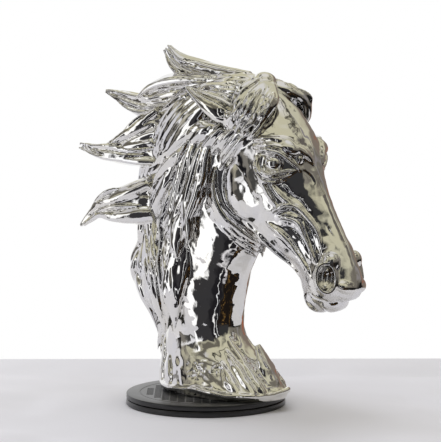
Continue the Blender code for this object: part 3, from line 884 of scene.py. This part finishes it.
def undulations(points):
    """Long shallow folds down the neck, streaks down the face and lumps in the foot, in millimetres."""
    x, y, z = points.T
    front, back, half = neck_row(z)
    turn = np.arctan2(y / half, (x - (front + back) / 2) / ((front - back) / 2))
    down = 1.1 * noise(turn * 46 / 17, z / 110, 11) + 0.5 * noise(turn * 46 / 8, z / 60, 12)
    neck_share = ((340 - z) / 40).clip(0, 1) * (x < 100) * (x + 0.6 * z < 220)
    along_face = 0.40 * x - 0.92 * z
    down_face = 0.5 * noise(y / 9 + 20, along_face / 90, 13)
    down_face += 0.25 * noise(y / 4.5 + 20, along_face / 50, 14)
    face_share = ((x - 100) / 40).clip(0, 1) * ((34 - np.abs(y)) / 14).clip(0, 1)
    lumps = 1.3 * np.abs(noise(turn * 60 / 15, z / 22, 15)) + 0.8 * noise(turn * 60 / 8, z / 11, 16)
    foot_share = ((105 - z) / 30).clip(0, 1) * ((z - 24) / 8).clip(0, 1)
    total = down * neck_share + down_face * face_share + lumps * foot_share
    crumples = 1.1 * ripples(points, 8, 21)
    for place, reach in CRUMPLED:
        gap = np.linalg.norm(points - place, axis=1)
        total = total + crumples * np.exp(-((gap / reach) ** 2))
    return total


def carve(points, normals, path, width, height):
    """Raises the skin along a path, or cuts into it where height is negative."""
    line = along(path, 6 * len(path))
    low, high = line.min(0) - 3 * width, line.max(0) + 3 * width
    near = np.where(np.all((points > low) & (points < high), axis=1))[0]
    here = points[near]
    best = np.full(len(near), np.inf)
    place = np.zeros(len(near))
    for k, (a, b) in enumerate(zip(line, line[1:])):
        along_it = (((here - a) @ (b - a)) / max((b - a) @ (b - a), 1e-9)).clip(0, 1)
        gap = np.linalg.norm(here - a - along_it[:, None] * (b - a), axis=1)
        closer = gap < best
        best[closer] = gap[closer]
        place[closer] = (k + along_it[closer]) / (len(line) - 1)
    fade = np.sin(math.pi * place.clip(0, 1)).clip(0) ** 0.6
    points[near] += normals[near] * (height * fade * np.exp(-((best / width) ** 2)))[:, None]


# Creases and ridges on each side of the face and neck: x and z along it, half-width, height
CREASES = (
    ([(116, 397), (128, 398), (142, 397), (156, 393)], 1.8, -2.0),
    ([(176, 374), (184, 364), (190, 352)], 2.0, -1.6),
    ([(150, 352), (166, 336), (182, 322), (196, 296)], 2.2, -1.8),
    ([(150, 310), (166, 312), (184, 300), (196, 280), (206, 254)], 2.0, -2.2),
    ([(150, 290), (168, 286), (184, 266), (196, 242)], 2.0, -2.0),
    ([(128, 280), (150, 262), (170, 240), (184, 220)], 2.4, -2.4),
    ([(112, 262), (136, 240), (158, 220)], 2.0, -1.6),
    ([(212, 296), (218, 284), (228, 272)], 2.0, -1.2),
    ([(206, 262), (212, 244), (212, 226), (210, 208)], 2.6, -2.0),
    ([(120, 336), (112, 306), (96, 288)], 4.0, -1.2),
    ([(180, 196), (196, 186), (214, 182), (230, 180), (244, 178)], 2.2, -1.8),
)


def carve_details(thing):
    """The creases of the face, cut where rays from the side meet the skin."""
    data = thing.data
    points, normals = coordinates(data), normals_of(data)
    tree = BVHTree.FromObject(thing, bpy.context.evaluated_depsgraph_get())
    for side in (1, -1):
        for places, width, height in CREASES:
            path = []
            for x, z in places:
                hit = tree.ray_cast(Vector((x, side * 200, z)), Vector((0, -side, 0)))[0]
                if hit is not None:
                    path.append(tuple(hit))
            if len(path) > 1:
                carve(points, normals, path, width, height)
    set_coordinates(data, points)


def keep_largest(thing):
    """Drops the crumbs and sealed pockets that the pressing and the cut leave."""
    mesh = bmesh.new()
    mesh.from_mesh(thing.data)
    unseen = set(mesh.verts)
    bodies = []
    while unseen:
        start = unseen.pop()
        body = [start]
        for vert in body:
            for edge in vert.link_edges:
                other = edge.other_vert(vert)
                if other in unseen:
                    unseen.discard(other)
                    body.append(other)
        bodies.append(body)
    bodies.sort(key=len)
    for body in bodies[:-1]:
        bmesh.ops.delete(mesh, geom=body, context="VERTS")
    mesh.to_mesh(thing.data)
    mesh.free()


def cut_flat(thing, height):
    """Cuts the piece off level and closes the cut."""
    bpy.context.view_layer.objects.active = thing
    bpy.ops.object.mode_set(mode="EDIT")
    bpy.ops.mesh.select_all(action="SELECT")
    bpy.ops.mesh.bisect(plane_co=(0, 0, height), plane_no=(0, 0, 1), clear_inner=True, use_fill=True)
    bpy.ops.object.mode_set(mode="OBJECT")


def casting():
    """The head, neck, mane and foot, which are cast as one."""
    rng = np.random.default_rng(HAIR_SEED)
    clay = Clay()
    body_form(clay)
    for side in (1, -1):
        eye(clay, side)
        face_muscles(clay, side)
        throat_folds(clay, side)
        nostril(clay, side)
        ear(clay, side)
        forelock(clay, side, rng)
        mane(clay, side, rng)
    muzzle(clay)
    crown(clay, rng)
    crest(clay, rng)
    nape(clay, rng)
    foot(clay)
    whole = clay.mesh("chromed_horse_head")
    cutting = Clay()
    hollows(cutting)
    cutter = cutting.mesh("hollows")
    press(cutter)
    apply_all(cutter)
    press(whole)
    cut_with(whole, cutter)
    press(whole)
    apply_all(whole)
    keep_largest(whole)
    return whole


# How much the hair is smoothed, how many rounds the bare skin is smoothed for, and how high the
# casting's unevenness stands, in millimetres
HAIR_SMOOTHING = 0.22
SKIN_ROUNDS = 14
BROAD_UNEVENNESS = 0.35
FINE_UNEVENNESS = 0.16


def finish_skin(whole):
    """Smooths the bare skin more than the hair, adds unevenness and creases, and cuts the foot flat."""
    data = whole.data
    points = coordinates(data)
    edges = np.empty(len(data.edges) * 2, int)
    data.edges.foreach_get("vertices", edges)
    edges = edges.reshape(-1, 2)
    share = skin_share(points)
    points = relax(points, edges, HAIR_SMOOTHING + 0.7 * share, 2)
    points = relax(points, edges, share, SKIN_ROUNDS)
    set_coordinates(data, points)
    uneven = BROAD_UNEVENNESS * ripples(points, 26, 3) + FINE_UNEVENNESS * ripples(points, 11, 4)
    uneven = uneven * (0.4 + 0.6 * share) + undulations(points) * share
    points = points + normals_of(data) * uneven[:, None]
    set_coordinates(data, points)
    carve_details(whole)
    thin = whole.modifiers.new("thin", "DECIMATE")
    thin.ratio = SKIN_TRIANGLES / sum(len(face.vertices) - 2 for face in data.polygons)
    apply_all(whole)
    cut_flat(whole, FOOT_LEVEL)
    keep_largest(whole)


def place_casting(whole):
    """Moves the finished skin onto the turntable, within the solid's box."""
    points = coordinates(whole.data) * MM + np.array(HEAD_PLACE)
    points = np.clip(points, np.array(CAD_LOW), np.array(CAD_HIGH))
    set_coordinates(whole.data, points)
    bpy.context.view_layer.objects.active = whole
    whole.select_set(True)
    bpy.ops.object.shade_smooth()
    whole.select_set(False)


# The discs' rims, the groove between the discs and the bearing face that stands back in it
RIM_ROUNDING = 0.0012
RIM_SIDES = 160
GROOVE_HEIGHT = 0.0011
BEARING_INSET = 0.006
BEARING_LOW = 0.002

# The upper disc's grip: rows of short recesses inside a fine ring
GRIP_RADIUS = 0.097
GRIP_RING = 0.1035
GRIP_PITCH = (0.0125, 0.0085)
GRIP_RECESS = (0.0105, 0.0042)
GRIP_DEPTH = 0.0007


def round_plate(name, radius, low, high):
    """A disc with a rounded rim."""
    bpy.ops.mesh.primitive_cylinder_add(
        vertices=RIM_SIDES, radius=radius, depth=high - low, location=(0, 0, 0)
    )
    plate = bpy.context.object
    plate.name = name
    set_coordinates(plate.data, coordinates(plate.data) + (0, 0, (high + low) / 2))
    rounding = plate.modifiers.new("rim", "BEVEL")
    rounding.width = RIM_ROUNDING
    rounding.segments = 3
    rounding.limit_method = "ANGLE"
    apply_all(plate)
    return plate


def grip_cutter(high):
    """Short bars in rows, to cut the recesses of the grip, in line with the camera's view."""
    mesh = bmesh.new()
    rows = int(GRIP_RADIUS / GRIP_PITCH[0])
    for row in range(-rows, rows + 1):
        x = row * GRIP_PITCH[0]
        reach = math.sqrt(max(0.0, GRIP_RADIUS**2 - (abs(x) + GRIP_RECESS[0] / 2) ** 2))
        steps = int(reach / GRIP_PITCH[1])
        for step in range(-steps, steps + 1):
            place = Matrix.Translation((x, step * GRIP_PITCH[1], high))
            size = Matrix.Diagonal((GRIP_RECESS[0], GRIP_RECESS[1], 2 * GRIP_DEPTH, 1.0))
            bmesh.ops.create_cube(mesh, size=1.0, matrix=place @ size)
    turn = Matrix.Rotation(math.radians(VIEW_AZIMUTH), 4, "Z")
    bmesh.ops.transform(mesh, matrix=turn, verts=mesh.verts)
    data = bpy.data.meshes.new("grip_cutter")
    mesh.to_mesh(data)
    mesh.free()
    return add_object("grip_cutter", data)


def cut_with(thing, cutter):
    """Cuts the cutter's shape out of the thing and drops the cutter."""
    difference = thing.modifiers.new("cut", "BOOLEAN")
    difference.operation = "DIFFERENCE"
    difference.object = cutter
    apply_all(thing)
    bpy.data.objects.remove(cutter)


def shade_rounded(thing):
    """Smooth shading that keeps the sharp edges."""
    bpy.context.view_layer.objects.active = thing
    thing.select_set(True)
    bpy.ops.object.shade_smooth_by_angle(angle=math.radians(30))
    thing.select_set(False)


def discs(material):
    """The turntable: a still disc with a bearing face, and a gripped disc that turns on it."""
    low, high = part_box("stand_upper_disc")
    upper = round_plate("upper_disc", high.x, low.z, high.z)
    cut_with(upper, grip_cutter(high.z))
    bpy.ops.mesh.primitive_torus_add(
        major_radius=GRIP_RING,
        minor_radius=GRIP_DEPTH,
        major_segments=128,
        minor_segments=8,
        location=(0, 0, high.z),
    )
    cut_with(upper, bpy.context.object)
    base_low, base_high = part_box("stand_lower_disc")
    bearing = round_plate("bearing", high.x - BEARING_INSET, base_low.z + BEARING_LOW, base_high.z)
    lower = round_plate("lower_disc", base_high.x, base_low.z, base_high.z - GROOVE_HEIGHT)
    bpy.context.view_layer.objects.active = lower
    lower.select_set(True)
    bearing.select_set(True)
    bpy.ops.object.join()
    for disc, body, node in ((upper, "turntable", "stand_upper_disc"), (lower, "stand", "stand_lower_disc")):
        shade_rounded(disc)
        disc.data.materials.append(material)
        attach(disc, body)
        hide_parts(node)


def hex_color(code):
    """An sRGB hex colour as linear numbers."""
    found = []
    for k in (0, 2, 4):
        value = int(code[k : k + 2], 16) / 255
        found.append(value / 12.92 if value <= 0.04045 else ((value + 0.055) / 1.055) ** 2.4)
    return (*found, 1.0)


def add_node(tree, kind, inputs=None, **settings):
    """Adds a node, sets its properties and sockets, and links the sockets that get another's output."""
    node = tree.nodes.new(kind)
    for key, value in settings.items():
        setattr(node, key, value)
    for key, value in (inputs or {}).items():
        if isinstance(value, bpy.types.NodeSocket):
            tree.links.new(value, node.inputs[key])
        else:
            node.inputs[key].default_value = value
    return node


def ramp_stops(node, stops):
    """Gives a colour ramp its places and colours."""
    elements = node.color_ramp.elements
    while len(elements) > 1:
        elements.remove(elements[-1])
    elements[0].position, elements[0].color = stops[0][0], stops[0][1]
    for place, color in stops[1:]:
        elements.new(place).color = color


# Real sizes on the surfaces: the plate's haze and its orange peel, and the plastic's spark-eroded grain,
# which is drawn coarser than it is so that it shows
HAZE_SIZE = 40 * MM
PEEL_SIZE = 7 * MM
PEEL_HEIGHT = 0.4 * MM
GRAIN_SIZE = 1.2 * MM
GRAIN_HEIGHT = 0.15 * MM


def new_material(name):
    """A material, its node tree and its shader."""
    material = bpy.data.materials.new(name)
    material.use_nodes = True
    return material, material.node_tree, material.node_tree.nodes["Principled BSDF"]


def dress(tree, shader, pattern, tones, roughness):
    """Sets the shader's colour and roughness by a pattern, between two tones and two values."""
    value = pattern.outputs["Fac"]
    tint = add_node(tree, "ShaderNodeValToRGB", {"Fac": value})
    ramp_stops(tint, [(place, hex_color(code)) for place, code in tones])
    tree.links.new(tint.outputs["Color"], shader.inputs["Base Color"])
    low, high = roughness
    rough = add_node(tree, "ShaderNodeMapRange", {"Value": value, "To Min": low, "To Max": high})
    tree.links.new(rough.outputs["Result"], shader.inputs["Roughness"])


def emboss(tree, shader, pattern, strength, height):
    """Lets a pattern show as fine relief."""
    relief = {"Height": pattern.outputs["Fac"], "Strength": strength, "Distance": height}
    bump = add_node(tree, "ShaderNodeBump", relief)
    tree.links.new(bump.outputs["Normal"], shader.inputs["Normal"])


def chrome():
    """Electroplated chrome on a cast body: a cool, almost perfect mirror, a little uneven."""
    material, tree, shader = new_material("electroplated_chrome")
    shader.inputs["Metallic"].default_value = 1.0
    place = add_node(tree, "ShaderNodeTexCoord").outputs["Object"]
    haze = add_node(tree, "ShaderNodeTexNoise", {"Vector": place, "Scale": 1 / HAZE_SIZE, "Detail": 3.0})
    dress(tree, shader, haze, ((0.3, "E6E6E8"), (0.7, "EDEBE6")), (0.02, 0.05))
    peel = add_node(tree, "ShaderNodeTexNoise", {"Vector": place, "Scale": 1 / PEEL_SIZE, "Detail": 2.0})
    emboss(tree, shader, peel, 0.25, PEEL_HEIGHT)
    return material


def black_plastic():
    """Moulded black ABS: satin, with a fine spark-eroded grain."""
    material, tree, shader = new_material("moulded_black_abs")
    shader.inputs["IOR"].default_value = 1.53
    place = add_node(tree, "ShaderNodeTexCoord").outputs["Object"]
    grain = add_node(tree, "ShaderNodeTexNoise", {"Vector": place, "Scale": 1 / GRAIN_SIZE, "Detail": 3.0})
    dress(tree, shader, grain, ((0.35, "18181A"), (0.7, "242427")), (0.24, 0.36))
    emboss(tree, shader, grain, 0.08, GRAIN_HEIGHT)
    return material


# The room's tones: overhead, on the walls, and of a dark screen with its specks
CEILING = "CFCBB2"
WALL = "9C978A"
SPECKLED = "1F1A17"
SPECKS = "8A6A3A"

# The room from straight below, 0, to straight overhead, 1
ROOM_TONES = (
    (0.30, "4A4541"),
    (0.50, "85817A"),
    (0.56, WALL),
    (0.61, CEILING),
    (0.80, CEILING),
    (0.92, "E6E4E0"),
)

# The room that the chrome mirrors: cards at azimuths counted from +X towards +Y and elevations, both in
# degrees, each with its half-widths, the softness of its edge, its colour and its brightness
CARDS = (
    (150, 34, -8, 42, 5, "FFFFFF", 1.0),
    (88, 26, 4, 30, 6, "85796F", 1.0),
    (93, 4, -6, 18, 2, "A5664E", 0.9),
    (22, 44, 14, 14, 6, "7A756C", 1.0),
    (30, 40, -42, 45, 5, "1E1D1D", 0.9),
    (-32, 27, -42, 45, 4, SPECKLED, 0.9),
    (-45, 17, 12, 20, 5, "3A3A3B", 0.9),
    (15, 16, 38, 8, 4, "69645F", 1.0),
    (12, 1.2, 40, 30, 1, "55504A", 1.0),
    (29, 1.2, 40, 30, 1, "5F5A54", 1.0),
    (47, 5, 40, 32, 1.5, "8F8A8A", 1.0),
    (-115, 11, -16, 34, 2, "FFFFFF", 1.3),
    (-97, 13, -16, 34, 2, "3A393B", 1.0),
    (-74, 17, -18, 44, 3, "242326", 0.9),
    (-78, 1.4, 0, 24, 0.8, "FFFFFF", 1.1),
    (-66, 1.0, 5, 18, 0.8, "FFFFFF", 0.9),
    (-132, 7, 0, 14, 2, "4A4947", 1.0),
    (-133, 11, 6, 2.5, 1.5, "F4F3F5", 1.0),
    (-133, 11, -26, 8, 2, "4A4846", 1.0),
    (-155, 38, 35, 8, 5, "D2D0D2", 1.0),
    (-128, 50, 27, 6, 3, "6E6A60", 1.0),
    (-174, 15, -10, 32, 3, "DFDEE3", 1.0),
    (-153, 4.5, -22, 33, 2, "1B1B1E", 1.0),
    (-130, 62, 46, 2, 1.5, "34332F", 1.0),
    (-150, 30, 54, 1.5, 1, "FFFFFF", 1.2),
    (-135, 45, 64, 3.5, 2, "2B2A29", 1.0),
    (40, 60, 56, 2.5, 2, "4E4B42", 1.0),
    (-100, 50, -30, 2, 1.5, "EDEBF0", 1.0),
)

# The table, the folds of its cloth, and how far from the stand and from its far edge they begin
TABLE_WIDTH = 2.6
TABLE_DEPTH = 0.74
TABLE_BACK = 0.42
FOLD_HEIGHT = 0.006
FOLD_START = 0.16
FOLD_FADE = 0.12

# Where the camera stands, its azimuth in degrees from -Y towards +X, the point that it looks at, and its
# lens in millimetres
VIEW_AZIMUTH = 40
VIEW_DISTANCE = 2.6
VIEW_HEIGHT = 0.50
VIEW_TARGET = (0.0176, 0.0148, 0.287)
LENS = 136


def within(tree, angle, centre, half, soft):
    """1 where an angle lies within half of the centre, fading to 0 over its soft edge, all in degrees."""
    gap = add_node(tree, "ShaderNodeMath", {0: angle, 1: math.radians(centre)}, operation="SUBTRACT")
    gap = add_node(tree, "ShaderNodeMath", {0: gap.outputs[0], 1: -math.pi, 2: math.pi}, operation="WRAP")
    gap = add_node(tree, "ShaderNodeMath", {0: gap.outputs[0]}, operation="ABSOLUTE")
    edge = {"From Min": math.radians(half + soft), "From Max": math.radians(half - soft)}
    return add_node(tree, "ShaderNodeMapRange", {"Value": gap.outputs[0], **edge}).outputs[0]


def studio():
    """A pale studio: white behind, cream overhead, softboxes at the side and a dark room in front."""
    world = bpy.data.worlds.new("studio")
    bpy.context.scene.world = world
    world.use_nodes = True
    tree = world.node_tree
    place = add_node(tree, "ShaderNodeTexCoord").outputs["Generated"]
    ruffle = add_node(tree, "ShaderNodeTexNoise", {"Vector": place, "Scale": 5.0, "Detail": 3.0})
    middle = {0: ruffle.outputs["Color"], 1: (0.5, 0.5, 0.5)}
    shift = add_node(tree, "ShaderNodeVectorMath", middle, operation="SUBTRACT")
    ruffled = {0: shift.outputs[0], 1: (0.10, 0.10, 0.10), 2: place}
    moved = add_node(tree, "ShaderNodeVectorMath", ruffled, operation="MULTIPLY_ADD")
    split = add_node(tree, "ShaderNodeSeparateXYZ", {"Vector": moved.outputs[0]})
    sides = {0: split.outputs["Y"], 1: split.outputs["X"]}
    azimuth = add_node(tree, "ShaderNodeMath", sides, operation="ARCTAN2").outputs[0]
    height = add_node(tree, "ShaderNodeMath", {0: split.outputs["Z"]}, operation="ARCSINE").outputs[0]
    span = {"Value": height, "From Min": -math.pi / 2, "From Max": math.pi / 2}
    tall = add_node(tree, "ShaderNodeMapRange", span)
    base = add_node(tree, "ShaderNodeValToRGB", {"Fac": tall.outputs["Result"]})
    ramp_stops(base, [(level, hex_color(code)) for level, code in ROOM_TONES])
    color = base.outputs["Color"]
    scatter = add_node(tree, "ShaderNodeTexNoise", {"Vector": place, "Scale": 16.0, "Detail": 2.0})
    sparse = {"Value": scatter.outputs["Fac"], "From Min": 0.60, "From Max": 0.68}
    speck = add_node(tree, "ShaderNodeMapRange", sparse).outputs["Result"]
    for centre, half, level, reach, soft, code, power in CARDS:
        wide = within(tree, azimuth, centre, half, soft)
        deep = within(tree, height, level, reach, soft)
        share = add_node(tree, "ShaderNodeMath", {0: wide, 1: deep}, operation="MULTIPLY")
        tone = (*(power * c for c in hex_color(code)[:3]), 1.0)
        if code == SPECKLED:
            mixed = {0: speck, 6: tone, 7: hex_color(SPECKS)}
            tone = add_node(tree, "ShaderNodeMix", mixed, data_type="RGBA").outputs[2]
        mixed = {0: share.outputs[0], 6: color, 7: tone}
        color = add_node(tree, "ShaderNodeMix", mixed, data_type="RGBA").outputs[2]
    glow = tree.nodes["Background"]
    tree.links.new(color, glow.inputs["Color"])
    white = add_node(tree, "ShaderNodeBackground", {"Color": (1, 1, 1, 1), "Strength": 1.0})
    seen = add_node(tree, "ShaderNodeLightPath").outputs["Is Camera Ray"]
    both = add_node(tree, "ShaderNodeMixShader", {0: seen, 1: glow.outputs[0], 2: white.outputs[0]})
    tree.links.new(both.outputs[0], tree.nodes["World Output"].inputs["Surface"])


def table_top():
    """A pale cloth on a table under the turntable, with soft folds and its far edge a little behind it."""
    bpy.ops.mesh.primitive_grid_add(x_subdivisions=240, y_subdivisions=160, size=1.0)
    floor = bpy.context.object
    floor.name = "pale_floor"
    points = coordinates(floor.data)
    points = points * (TABLE_WIDTH, TABLE_DEPTH, 1.0) + (0.0, TABLE_BACK - TABLE_DEPTH / 2, 0.0)
    away = np.hypot(points[:, 0], points[:, 1])
    u, v = points[:, 0] + 0.4 * points[:, 1], points[:, 1]
    folds = noise(u / 0.20 + 9, v / 0.10 + 9, 8) + 0.5 * noise(u / 0.07 + 9, v / 0.06 + 9, 9)
    near = ((away - FOLD_START) / FOLD_FADE).clip(0, 1) * ((TABLE_BACK - v) / FOLD_FADE).clip(0, 1)
    points[:, 2] = FOLD_HEIGHT * (folds - 1.5) * near
    turn = Matrix.Rotation(math.radians(VIEW_AZIMUTH), 3, "Z")
    set_coordinates(floor.data, points @ np.array(turn).T)
    floor.data.shade_smooth()
    material, _, shader = new_material("pale_cotton_cloth")
    shader.inputs["Base Color"].default_value = hex_color("E4E3EC")
    shader.inputs["Roughness"].default_value = 0.9
    floor.data.materials.append(material)
    floor.select_set(False)


def camera():
    """The camera at the photograph's viewing angle."""
    data = bpy.data.cameras.new("camera")
    made = add_object("camera", data)
    azimuth = math.radians(VIEW_AZIMUTH)
    made.location = (VIEW_DISTANCE * math.sin(azimuth), -VIEW_DISTANCE * math.cos(azimuth), VIEW_HEIGHT)
    made.rotation_euler = (Vector(VIEW_TARGET) - made.location).to_track_quat("-Z", "Y").to_euler()
    data.lens = LENS
    bpy.context.scene.camera = made


DAYLIGHT = (0.93, 0.96, 1.0)


def soft_light(name, place, size, power):
    """A daylight softbox aimed at the table, seen by no mirror."""
    data = bpy.data.lights.new(name, "AREA")
    data.shape = "DISK"
    data.size = size
    data.energy = power
    data.color = DAYLIGHT
    made = add_object(name, data)
    made.location = place
    made.rotation_euler = (-Vector(place)).to_track_quat("-Z", "Y").to_euler()
    made.visible_glossy = False


def main():
    """Sets the stage and dresses the part."""
    bpy.context.scene.view_settings.view_transform = "Standard"
    camera()
    studio()
    soft_light("overhead", (0.0, 0.0, 2.2), 2.0, 23)
    soft_light("window", (-2.0, -0.4, 0.55), 0.7, 10)
    table_top()
    whole = casting()
    finish_skin(whole)
    place_casting(whole)
    whole.data.materials.append(chrome())
    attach(whole, "turntable")
    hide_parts("horse_head")
    discs(black_plastic())


main()
